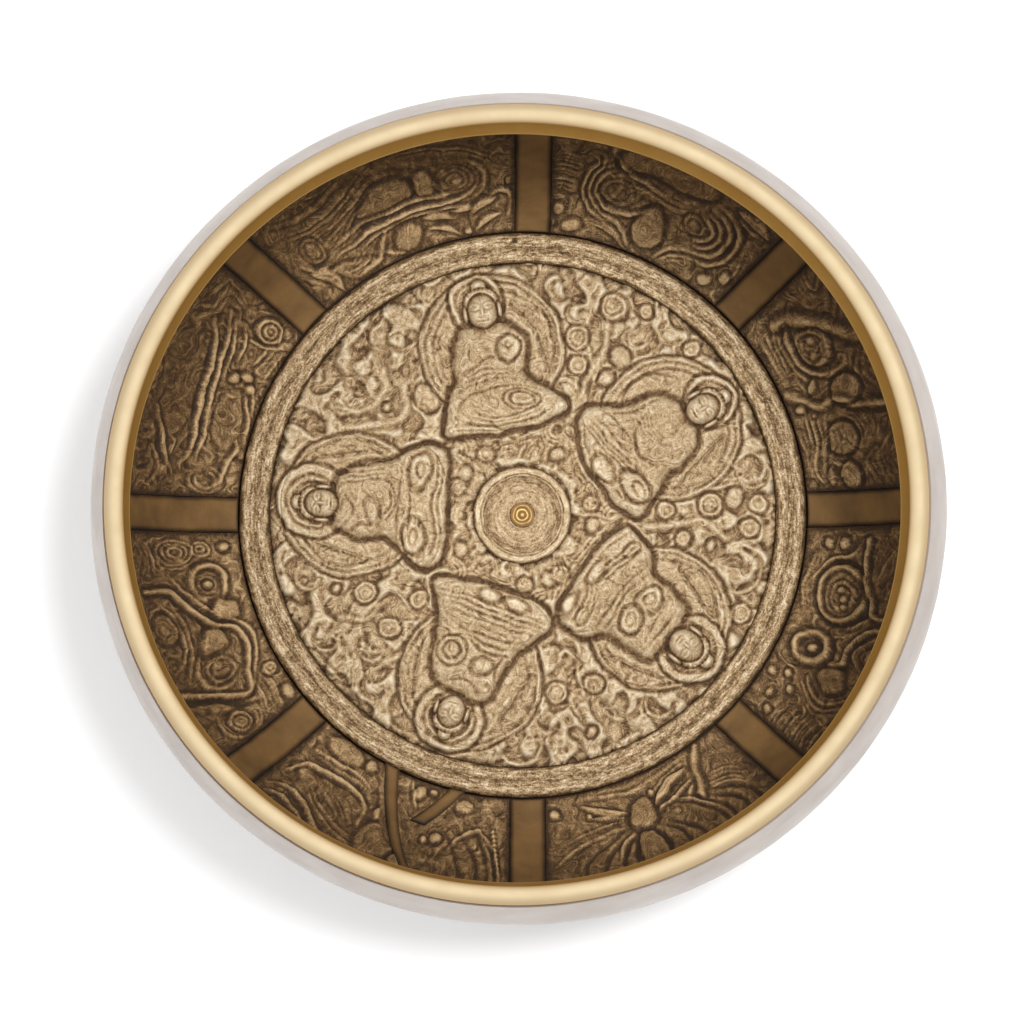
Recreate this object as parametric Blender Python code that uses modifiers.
"""Singing bowl with a lined, chased interior. Metres, +Z up, base on z = 0, the bowl's axis on the Z axis.

The bowl is drawn round, and a lattice then squeezes it slightly in Y towards the rim. Dimensions are in
millimetres and are turned into metres where meshes are made.
"""

import math

import bmesh
import bpy
from mathutils import Matrix, Vector

MM = 0.001
GAP = 0.3

# Outer form
HEIGHT = 90.0
BASE_RADIUS = 58.0
BELLY_RADIUS = 100.0
BELLY_HEIGHT = 54.0
SHELL_TOP = 85.5
SHELL_TOP_RADIUS = 94.3
SHELL_WALL = 1.8
SHELL_FLOOR = 3.4
OVAL_AT_MID = 0.027
OVAL_AT_RIM = 0.029

# Lip ring
LIP_OUTER = 93.7
LIP_CREST = 91.4
LIP_BEVEL_OUTER = 89.2
LIP_BEVEL_INNER = 87.7
LIP_BEVEL_RISE = 2.3

# Wall lining: its rows are shared by the shell's inner face, so that the facets stay parallel
LINING_START = 0.206
LINING_ROWS = 12
LINING_ROWS_BELOW_BELLY = 8
LINING_GAP = 0.45
PANEL_WALL = 1.6
STRAP_PROUD = 0.4
STRAP_ANGLES = [1, 44, 88, 137, 180, 223, 271, 316]
STRAP_WIDTH = 8.6
SEAM = 0.4
BAND_WALL = 0.7
BAND_WIDTH = 3.8

# Floor
RING_OUTER = 69.3
RING_INNER = 62.2
RING_RISE = 4.3
MEDALLION_WALL = 2.0
FIGURE_ANGLES = [30.5, 100.3, 176.6, 252.1, 322.6]
DISH_RADIUS = 12.0
STUD_HEAD_RADIUS = 2.9
STUD_SHANK_RADIUS = 1.4
WASHER_RADIUS = 7.0
WASHER_WALL = 0.7
RECESS_RADIUS = 9.5
RECESS_DEPTH = 2.0

WALL_STEPS = 64
PANEL_COLUMNS = 6
DISH_STEPS = 32
STUD_STEPS = 16

PANEL_DEPTH = SHELL_WALL + LINING_GAP + PANEL_WALL
MEDALLION_BOTTOM = SHELL_FLOOR + GAP
MEDALLION_TOP = MEDALLION_BOTTOM + MEDALLION_WALL
FIGURE_BOTTOM = MEDALLION_TOP + GAP
STUD_HOLE_RADIUS = STUD_SHANK_RADIUS + GAP


def clear_scene():
    for obj in list(bpy.data.objects):
        bpy.data.objects.remove(obj, do_unlink=True)


def new_collection(name):
    collection = bpy.data.collections.new(name)
    bpy.context.scene.collection.children.link(collection)
    return collection


def new_material(name, colour, roughness, metallic):
    material = bpy.data.materials.new(name)
    material.use_nodes = True
    shader = material.node_tree.nodes["Principled BSDF"]
    shader.inputs["Base Color"].default_value = (*colour, 1.0)
    shader.inputs["Roughness"].default_value = roughness
    shader.inputs["Metallic"].default_value = metallic
    material.diffuse_color = (*colour, 1.0)
    return material


def new_object(name, mesh, collection, material=None):
    obj = bpy.data.objects.new(name, mesh)
    collection.objects.link(obj)
    if material:
        mesh.materials.append(material)
    return obj


def make_oval_lattice():
    """A cage with three levels in Z that narrows the bowl in Y from the base up."""
    data = bpy.data.lattices.new("oval_lattice")
    data.points_u = 2
    data.points_v = 2
    data.points_w = 3
    data.interpolation_type_u = "KEY_LINEAR"
    data.interpolation_type_v = "KEY_LINEAR"
    data.interpolation_type_w = "KEY_LINEAR"
    cage = bpy.data.objects.new("oval_lattice", data)
    cage.location = (0, 0, HEIGHT / 2 * MM)
    cage.scale = (2.2 * BELLY_RADIUS * MM, 2.2 * BELLY_RADIUS * MM, HEIGHT * MM)
    cage.hide_render = True
    squeeze_by_level = [0.0, OVAL_AT_MID, OVAL_AT_RIM]
    for index, point in enumerate(data.points):
        level = index // 4
        point.co_deform.y *= 1 - squeeze_by_level[level]
    cutters.objects.link(cage)
    return cage


def finish(obj, material):
    """Gives a node its material, its parent and its place in the slightly oval bowl."""
    obj.data.materials.clear()
    obj.data.materials.append(material)
    obj.parent = bowl_axis
    squeeze = obj.modifiers.new("oval", "LATTICE")
    squeeze.object = oval_lattice
    return obj


def turned(name, profile, steps, material):
    """A closed profile of (radius, z), running down its outer side, turned round the Z axis."""
    mesh = bpy.data.meshes.new(name)
    points = [(radius * MM, 0, z * MM) for radius, z in profile]
    count = len(points)
    mesh.from_pydata(points, [(i, (i + 1) % count) for i in range(count)], [])
    obj = new_object(name, mesh, parts)
    screw = obj.modifiers.new("turn", "SCREW")
    screw.axis = "Z"
    screw.angle = math.tau
    screw.steps = steps
    screw.render_steps = steps
    screw.use_merge_vertices = True
    screw.merge_threshold = 0.00001
    screw.use_smooth_shade = True
    return finish(obj, material)


def wall_point(t, depth):
    """The (radius, z) at this depth under the shell's outer face. t is 0 at the base, 1 at the belly, 2 at the top."""
    if t <= 1:
        angle = t * math.pi / 2
        bulge = BELLY_RADIUS - BASE_RADIUS
        point = Vector((BASE_RADIUS + bulge * math.sin(angle), BELLY_HEIGHT * (1 - math.cos(angle))))
        tangent = Vector((bulge * math.cos(angle), BELLY_HEIGHT * math.sin(angle)))
    else:
        share = t - 1
        lean = BELLY_RADIUS - SHELL_TOP_RADIUS
        rise = SHELL_TOP - BELLY_HEIGHT
        point = Vector((BELLY_RADIUS - lean * share**2, BELLY_HEIGHT + rise * share))
        tangent = Vector((-2 * lean * share, rise))
    outward = Vector((tangent.y, -tangent.x)).normalized()
    return point - depth * outward


def spread(start, end, count):
    """This many evenly spaced values, both ends included."""
    return [start + (end - start) * i / (count - 1) for i in range(count)]


def lining_t(row):
    """The t of a row of the lining: eight rows up to the belly, then four to the lip."""
    if row <= LINING_ROWS_BELOW_BELLY:
        return LINING_START + (1 - LINING_START) * row / LINING_ROWS_BELOW_BELLY
    return 1 + (row - LINING_ROWS_BELOW_BELLY) / (LINING_ROWS - LINING_ROWS_BELOW_BELLY)


def floor_meets_wall():
    """The t at which the shell's inner wall face reaches the height of its inner floor."""
    low, high = 0.0, 0.5
    for _ in range(40):
        middle = (low + high) / 2
        if wall_point(middle, SHELL_WALL).y < SHELL_FLOOR:
            low = middle
        else:
            high = middle
    return high


def make_shell():
    outer = [wall_point(t, 0) for t in spread(2, 1, 4) + spread(0.9, 0, 10)]
    inner_rows = [lining_t(row) for row in range(LINING_ROWS + 1)]
    inner = [wall_point(t, SHELL_WALL) for t in [floor_meets_wall()] + inner_rows]
    under = [
        (RECESS_RADIUS, 0),
        (RECESS_RADIUS, RECESS_DEPTH),
        (STUD_HOLE_RADIUS, RECESS_DEPTH),
        (STUD_HOLE_RADIUS, SHELL_FLOOR),
    ]
    return turned("outer_shell", outer + under + inner, WALL_STEPS, pale_metal)


def make_rim_ring():
    bottom = SHELL_TOP + GAP
    crown = HEIGHT - bottom
    half_width = LIP_OUTER - LIP_CREST
    rounded = [
        (LIP_CREST + half_width * math.sin(angle), bottom + crown * (0.35 + 0.65 * math.cos(angle)))
        for angle in spread(0, math.pi / 2, 5)
    ]
    bevel_bottom = bottom + 0.5
    profile = rounded + [
        (LIP_OUTER - 0.1, bottom),
        (LIP_BEVEL_INNER + 0.2, bottom),
        (LIP_BEVEL_INNER, bevel_bottom),
        (LIP_BEVEL_OUTER, bevel_bottom + LIP_BEVEL_RISE),
        (LIP_BEVEL_OUTER + 0.9, HEIGHT - 0.35),
    ]
    return turned("rim_ring", profile, WALL_STEPS, gold_metal)


def wall_sheet(name, edges_of, front_depth, thickness, columns, rows, material):
    """A sheet on the wall, from the lining's foot up. edges_of gives its two side angles at a row and its radius."""
    shape = bmesh.new()
    bmesh.ops.create_grid(shape, x_segments=columns, y_segments=rows, size=0.5)
    for vertex in shape.verts:
        across = vertex.co.x + 0.5
        row = (vertex.co.y + 0.5) * rows
        radius, z = wall_point(lining_t(row), front_depth)
        start, end = edges_of(row, radius)
        angle = start + (end - start) * across
        vertex.co = (radius * math.cos(angle) * MM, radius * math.sin(angle) * MM, z * MM)
    mesh = bpy.data.meshes.new(name)
    shape.to_mesh(mesh)
    shape.free()
    obj = new_object(name, mesh, parts)
    thicken = obj.modifiers.new("thickness", "SOLIDIFY")
    thicken.thickness = thickness * MM
    thicken.offset = 1
    thicken.use_even_offset = True
    return finish(obj, material)


def make_panels():
    def between_straps(start, end):
        def edges(row, radius):
            inset = (STRAP_WIDTH / 2 + SEAM) / radius
            return start + inset, end - inset

        return edges

    for index, angle in enumerate(STRAP_ANGLES):
        start = math.radians(angle)
        end = math.radians(STRAP_ANGLES[(index + 1) % len(STRAP_ANGLES)])
        wall_sheet(
            f"wall_panel_{index + 1}",
            between_straps(start, end if end > start else end + math.tau),
            PANEL_DEPTH,
            PANEL_WALL,
            PANEL_COLUMNS,
            LINING_ROWS,
            bronze,
        )


def parallel_sides(middle_of, half_width_of):
    """Side angles from a middle angle in degrees and a half width in millimetres, both given by row."""

    def edges(row, radius):
        middle = math.radians(middle_of(row))
        half = half_width_of(row) / radius
        return middle - half, middle + half

    return edges


def make_straps():
    for index, angle in enumerate(STRAP_ANGLES):
        wall_sheet(
            f"seam_strap_{index + 1}",
            parallel_sides(lambda row, middle=angle: middle, lambda row: STRAP_WIDTH / 2),
            PANEL_DEPTH + STRAP_PROUD,
            PANEL_WALL + STRAP_PROUD,
            1,
            LINING_ROWS,
            plain_bronze,
        )


def make_slanted_straps():
    """Two bands on the face of the sixth panel: one that leans up the wall, and a short one beside it."""
    front = PANEL_DEPTH + LINING_GAP + BAND_WALL
    wall_sheet(
        "slanted_strap_long",
        parallel_sides(lambda row: 242.8 + 1.9 * row, lambda row: BAND_WIDTH / 2 - 0.12 * row),
        front,
        BAND_WALL,
        1,
        5,
        plain_bronze,
    )
    wall_sheet(
        "slanted_strap_short",
        parallel_sides(lambda row: 256.8 - 2.7 * row, lambda row: BAND_WIDTH / 2),
        front,
        BAND_WALL,
        1,
        2,
        plain_bronze,
    )


def make_floor_ring():
    top = MEDALLION_BOTTOM + RING_RISE
    profile = [
        (RING_OUTER - 1.2, top),
        (RING_OUTER, top - 0.9),
        (RING_OUTER, MEDALLION_BOTTOM + 0.8),
        (RING_OUTER - 1.8, MEDALLION_BOTTOM),
        (RING_INNER, MEDALLION_BOTTOM),
        (RING_INNER, top - 1.1),
        (RING_INNER + 0.8, top - 0.6),
        (RING_INNER + 3.2, top - 0.6),
        (RING_OUTER - 3.0, top - 0.1),
    ]
    return turned("floor_ring", profile, WALL_STEPS, bronze)


def make_medallion():
    outer = RING_INNER - GAP
    profile = [
        (outer - 0.5, MEDALLION_TOP),
        (outer, MEDALLION_TOP - 0.5),
        (outer, MEDALLION_BOTTOM),
        (STUD_HOLE_RADIUS, MEDALLION_BOTTOM),
        (STUD_HOLE_RADIUS, MEDALLION_TOP),
    ]
    return turned("floor_medallion", profile, WALL_STEPS, pale_bronze)


def make_dish():
    bottom = FIGURE_BOTTOM
    profile = [
        (DISH_RADIUS - 0.9, bottom + 2.0),
        (DISH_RADIUS - 0.3, bottom + 1.7),
        (DISH_RADIUS, bottom + 1.1),
        (DISH_RADIUS, bottom),
        (STUD_HOLE_RADIUS, bottom),
        (STUD_HOLE_RADIUS, bottom + 0.8),
        (STUD_HEAD_RADIUS + 1.2, bottom + 0.8),
        (DISH_RADIUS - 4.0, bottom + 0.6),
        (DISH_RADIUS - 2.4, bottom + 0.9),
        (DISH_RADIUS - 1.6, bottom + 1.8),
    ]
    return turned("centre_dish", profile, DISH_STEPS, pale_bronze)


def make_stud():
    """One rivet: a domed head over the dish, a shank, and a flat closed end under the washer."""
    head_bottom = FIGURE_BOTTOM + 0.8 + GAP
    dome = [
        (STUD_HEAD_RADIUS * math.sin(angle), head_bottom + 0.5 + 1.5 * math.cos(angle))
        for angle in spread(0, math.pi / 2, 4)
    ]
    tail_top = RECESS_DEPTH - GAP - WASHER_WALL - GAP
    profile = dome + [
        (STUD_HEAD_RADIUS, head_bottom),
        (STUD_SHANK_RADIUS, head_bottom),
        (STUD_SHANK_RADIUS, tail_top),
        (STUD_HEAD_RADIUS, tail_top),
        (STUD_HEAD_RADIUS - 0.3, tail_top - 0.5),
        (0, tail_top - 0.5),
    ]
    return turned("centre_stud", profile, STUD_STEPS, gold_metal)


def make_washer():
    top = RECESS_DEPTH - GAP
    profile = [
        (WASHER_RADIUS, top),
        (WASHER_RADIUS, top - WASHER_WALL),
        (STUD_HOLE_RADIUS, top - WASHER_WALL),
        (STUD_HOLE_RADIUS, top),
    ]
    return turned("stud_washer", profile, DISH_STEPS, plain_bronze)


def rounded_form(name, centre, radii):
    """An ellipsoid, as a helper that a figure is joined from."""
    shape = bmesh.new()
    place = Matrix.Translation(Vector(centre) * MM) @ Matrix.Diagonal(Vector((*radii, 1)))
    bmesh.ops.create_uvsphere(shape, u_segments=14, v_segments=8, radius=MM, matrix=place)
    return helper_from(name, shape)


def oval_plate(name, centre, radii, top):
    """An oval plate that starts below the figure's flat back, as a helper that a figure is joined from."""
    shape = bmesh.new()
    low = FIGURE_BOTTOM - 1
    place = Matrix.Translation(Vector((centre[0], centre[1], (low + top) / 2)) * MM)
    place = place @ Matrix.Diagonal(Vector((*radii, (top - low), 1)))
    bmesh.ops.create_cone(
        shape, cap_ends=True, segments=28, radius1=MM, radius2=MM, depth=MM, matrix=place
    )
    return helper_from(name, shape)


def helper_from(name, shape):
    mesh = bpy.data.meshes.new(name)
    shape.to_mesh(mesh)
    shape.free()
    obj = new_object(name, mesh, cutters)
    obj.hide_render = True
    obj.display_type = "WIRE"
    return obj


def slab_below_figures():
    shape = bmesh.new()
    size = 200.0
    place = Matrix.Translation((0, 0, (FIGURE_BOTTOM - size / 2) * MM))
    bmesh.ops.create_cube(shape, size=size * MM, matrix=place)
    return helper_from("slab_below_figures", shape)


def figure_mesh():
    """A seated figure with its head outwards: mandorla, halo, head, torso and crossed legs, flat at the back."""
    body = oval_plate("mandorla", (0, 40.5), (17.0, 19.8), FIGURE_BOTTOM + 0.7)
    forms = [
        oval_plate("halo", (0.3, 53.5), (7.2, 7.2), FIGURE_BOTTOM + 1.5),
        rounded_form("head", (0.3, 52.0, 7.0), (3.9, 4.5, 2.6)),
        rounded_form("torso", (0, 37.5, 6.4), (9.0, 12.5, 3.0)),
        rounded_form("legs", (0, 25.5, 6.4), (14.5, 6.5, 2.8)),
    ]
    for form in forms:
        join = body.modifiers.new(form.name, "BOOLEAN")
        join.operation = "UNION"
        join.object = form
    flatten = body.modifiers.new("flat_back", "BOOLEAN")
    flatten.operation = "DIFFERENCE"
    flatten.object = slab_below_figures()
    graph = bpy.context.evaluated_depsgraph_get()
    mesh = bpy.data.meshes.new_from_object(body.evaluated_get(graph))
    mesh.name = "seated_figure"
    body.modifiers.clear()
    return mesh


def make_figures():
    mesh = figure_mesh()
    for index, angle in enumerate(FIGURE_ANGLES):
        obj = new_object(f"seated_figure_{index + 1}", mesh, parts)
        obj.rotation_euler = (0, 0, math.radians(angle - 90))
        finish(obj, pale_bronze)


clear_scene()
parts = new_collection("singing_bowl")
cutters = new_collection("cutters")

pale_metal = new_material("pale_metal", (0.60, 0.54, 0.50), 0.45, 0.6)
gold_metal = new_material("gold_metal", (0.86, 0.66, 0.36), 0.30, 0.9)
bronze = new_material("bronze", (0.20, 0.13, 0.06), 0.50, 0.8)
plain_bronze = new_material("plain_bronze", (0.16, 0.10, 0.04), 0.45, 0.8)
pale_bronze = new_material("pale_bronze", (0.45, 0.35, 0.22), 0.50, 0.7)

bowl_axis = bpy.data.objects.new("bowl_axis", None)
parts.objects.link(bowl_axis)
oval_lattice = make_oval_lattice()

make_shell()
make_rim_ring()
make_panels()
make_straps()
make_slanted_straps()
make_floor_ring()
make_medallion()
make_figures()
make_dish()
make_stud()
make_washer()
